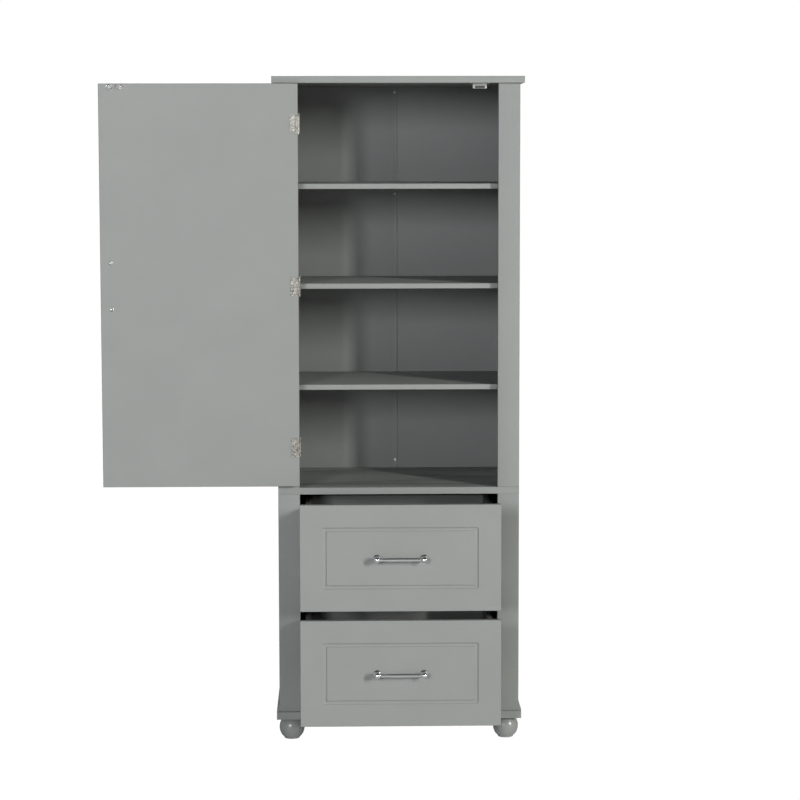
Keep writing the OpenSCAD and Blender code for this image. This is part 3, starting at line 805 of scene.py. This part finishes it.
def cabinet_screws():
    """The hinges' screws in the stile, the catch's two and the joint strip's three."""
    bm = bmesh.new()
    leaf_y = stile_lo.y + (stile_hi.y - stile_lo.y) / 2 + 1 * MM
    for height in HEIGHTS:
        for side in (-1, 1):
            at = Vector((stile_hi.x + LEAF_T - 0.15 * MM, leaf_y, hinge_z[height] + side * HINGE_SCREW_Z))
            screw(bm, at, X, SCREW_HEAD_R, SCREW_R, SCREW_LEN, 0.12 * MM)
    lo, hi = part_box("catch_body")
    for side in (-1, 1):
        at = Vector(((lo.x + hi.x) / 2 + side * CATCH_SCREW_X, (lo.y + hi.y) / 2, hi.z - 1.9 * MM))
        screw(bm, at, -Z, SCREW_HEAD_R, SCREW_R, SCREW_LEN, 0.12 * MM)
    strip_lo, strip_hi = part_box("back_joint_strip")
    shelf_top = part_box("upper_shelf")[1].z
    for z in (strip_lo.z + 20 * MM, shelf_top - 30 * MM, strip_hi.z - 14 * MM):
        at = Vector(((strip_lo.x + strip_hi.x) / 2, strip_lo.y, z))
        screw(bm, at, -Y, STRIP_HEAD_R, STRIP_SCREW_R, STRIP_SCREW_LEN, STRIP_HEAD_DOME, STRIP_HEAD_RIM)
    add_piece("cabinet_screws_turned", bm, "cabinet_screws")


def door_screws():
    """The hinges' screws in the door and the strike plate's two."""
    bm = bmesh.new()
    for height in HEIGHTS:
        for side in (-1, 1):
            at = Vector((door_hi.x - LEAF_W / 2, door_lo.y - LEAF_T + 0.15 * MM,
                         hinge_z[height] + side * HINGE_SCREW_Z))
            screw(bm, at, -Y, SCREW_HEAD_R, SCREW_R, SCREW_LEN, 0.12 * MM)
    for side in (-1, 1):
        at = Vector((strike_x + side * STRIKE_SCREW_X, strike_lo.y + 0.3 * MM, strike_z))
        screw(bm, at, -Y, SCREW_HEAD_R, SCREW_R, 11 * MM, 0.12 * MM)
    add_piece("door_screws_turned", bm, "door_screws")


cabinet_screws()
door_screws()


# ---- Bun feet ----

FOOT_BELLY_SHARE = 0.53
FOOT_CURL = 0.70
FOOT_SOLE_SHARE = 0.585
FOOT_NECK_SHARE = 0.62


def foot(node):
    """Turned foot: a flat sole, a full belly and a short neck under the base board."""
    lo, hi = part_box(node)
    radius, height = (hi.x - lo.x) / 2, hi.z - lo.z
    belly_z = height * FOOT_BELLY_SHARE
    outline = [(0, 0), (radius * FOOT_SOLE_SHARE, 0), (radius * 0.60, 0.3 * MM)]
    for i in range(61):
        turn = math.radians(-62 + 2 * i)
        across = radius * (1 - FOOT_CURL + FOOT_CURL * math.cos(turn))
        outline.append((across, belly_z * (1 + math.sin(turn))))
    neck = radius * FOOT_NECK_SHARE
    outline += [(radius * 0.625, height - 1.3 * MM), (neck, height - 0.8 * MM), (neck, height), (0, height)]
    bm = bmesh.new()
    lathe(bm, outline, Vector(((lo.x + hi.x) / 2, (lo.y + hi.y) / 2, lo.z)), Z, 96)
    add_piece(node + "_turned", bm, node)


for name in ("front_left_foot", "front_right_foot", "rear_left_foot", "rear_right_foot"):
    foot(name)


# ---- Studio ----

WHITE_LEVEL = 1.02
AMBIENT = 0.08
GLINT = 0.6
GLINT_TOP = 0.5
BACK_FILL = 0.4


def add_floor():
    """Pale floor that the camera sees as bright as the backdrop."""
    bm = bmesh.new()
    bmesh.ops.create_grid(bm, x_segments=1, y_segments=1, size=30)
    mesh = bpy.data.meshes.new("floor")
    bm.to_mesh(mesh)
    bm.free()
    floor = bpy.data.objects.new("floor", mesh)
    bpy.context.scene.collection.objects.link(floor)
    material = start_material("pale_floor", (0.86, 0.86, 0.86), 0.8)
    tree = material.node_tree
    glow = add_node(material, "ShaderNodeEmission")
    glow.inputs["Color"].default_value = (1, 1, 1, 1)
    glow.inputs["Strength"].default_value = WHITE_LEVEL
    path = add_node(material, "ShaderNodeLightPath")
    mix = add_node(material, "ShaderNodeMixShader")
    tree.links.new(path.outputs["Is Camera Ray"], mix.inputs["Fac"])
    tree.links.new(shader_of(material).outputs["BSDF"], mix.inputs[1])
    tree.links.new(glow.outputs["Emission"], mix.inputs[2])
    tree.links.new(mix.outputs["Shader"], tree.nodes["Material Output"].inputs["Surface"])
    mesh.materials.append(material)


def add_backdrop():
    """White to the camera. Paint gets a dim fill, stronger from behind, and reflections a low bright band."""
    world = bpy.data.worlds.new("studio")
    world.use_nodes = True
    tree = world.node_tree
    fill = tree.nodes["Background"]
    fill.inputs["Color"].default_value = (1, 1, 1, 1)
    white = add_node(world, "ShaderNodeBackground")
    white.inputs["Color"].default_value = (1, 1, 1, 1)
    white.inputs["Strength"].default_value = WHITE_LEVEL
    path = add_node(world, "ShaderNodeLightPath")
    place = add_node(world, "ShaderNodeTexCoord")
    split = add_node(world, "ShaderNodeSeparateXYZ")
    tree.links.new(place.outputs["Generated"], split.inputs["Vector"])
    behind = remap(world, split.outputs["Y"], 0.1, 0.7, AMBIENT, BACK_FILL)
    band = remap(world, split.outputs["Z"], 0.0, GLINT_TOP, GLINT, AMBIENT)
    seen = remap(world, path.outputs["Is Glossy Ray"], 0.0, 1.0, behind, band)
    tree.links.new(seen, fill.inputs["Strength"])
    mix = add_node(world, "ShaderNodeMixShader")
    tree.links.new(path.outputs["Is Camera Ray"], mix.inputs["Fac"])
    tree.links.new(fill.outputs["Background"], mix.inputs[1])
    tree.links.new(white.outputs["Background"], mix.inputs[2])
    tree.links.new(mix.outputs["Shader"], tree.nodes["World Output"].inputs["Surface"])
    bpy.context.scene.world = world


def softbox(name, at, aim, width, height, power, colour):
    """Rectangular light; at and aim are measured from the floor under the middle of the top board."""
    data = bpy.data.lights.new(name, "AREA")
    data.shape = "RECTANGLE"
    data.size, data.size_y = width, height
    data.energy = power
    data.color = colour
    light = bpy.data.objects.new(name, data)
    light.location = middle + Vector(at)
    light.rotation_mode = "QUATERNION"
    light.rotation_quaternion = (Vector(at) - Vector(aim)).to_track_quat("Z", "Y")
    bpy.context.scene.collection.objects.link(light)


def add_camera():
    """Stands six metres in front, a little to the left of the cabinet's middle and above the door's pull."""
    pitch, yaw, roll = 0.1021, 0.0244, -0.0015
    forward = Vector((math.sin(yaw) * math.cos(pitch), math.cos(yaw) * math.cos(pitch), -math.sin(pitch)))
    right = Vector((math.cos(yaw), -math.sin(yaw), 0))
    up = right.cross(forward)
    right, up = right * math.cos(roll) + up * math.sin(roll), up * math.cos(roll) - right * math.sin(roll)
    data = bpy.data.cameras.new("camera")
    data.sensor_width = 36
    data.lens = 111.06
    data.clip_start, data.clip_end = 0.1, 100
    camera = bpy.data.objects.new("camera", data)
    turn = Matrix((right, up, -forward)).transposed().to_4x4()
    camera.matrix_world = Matrix.Translation(middle + Vector((-0.1404, -6.0743, 1.4325))) @ turn
    bpy.context.scene.collection.objects.link(camera)
    bpy.context.scene.camera = camera


add_floor()
add_backdrop()
softbox("left softbox", (-5.0, -14.0, 3.6), (0, 0, 1.1), 2.6, 3.5, 1150, (0.955, 0.985, 1.0))
softbox("right softbox", (13.0, -14.0, 5.6), (0, 0, 1.1), 0.9, 5.0, 3350, (1.0, 0.995, 0.955))
add_camera()
bpy.context.scene.view_settings.view_transform = "Standard"
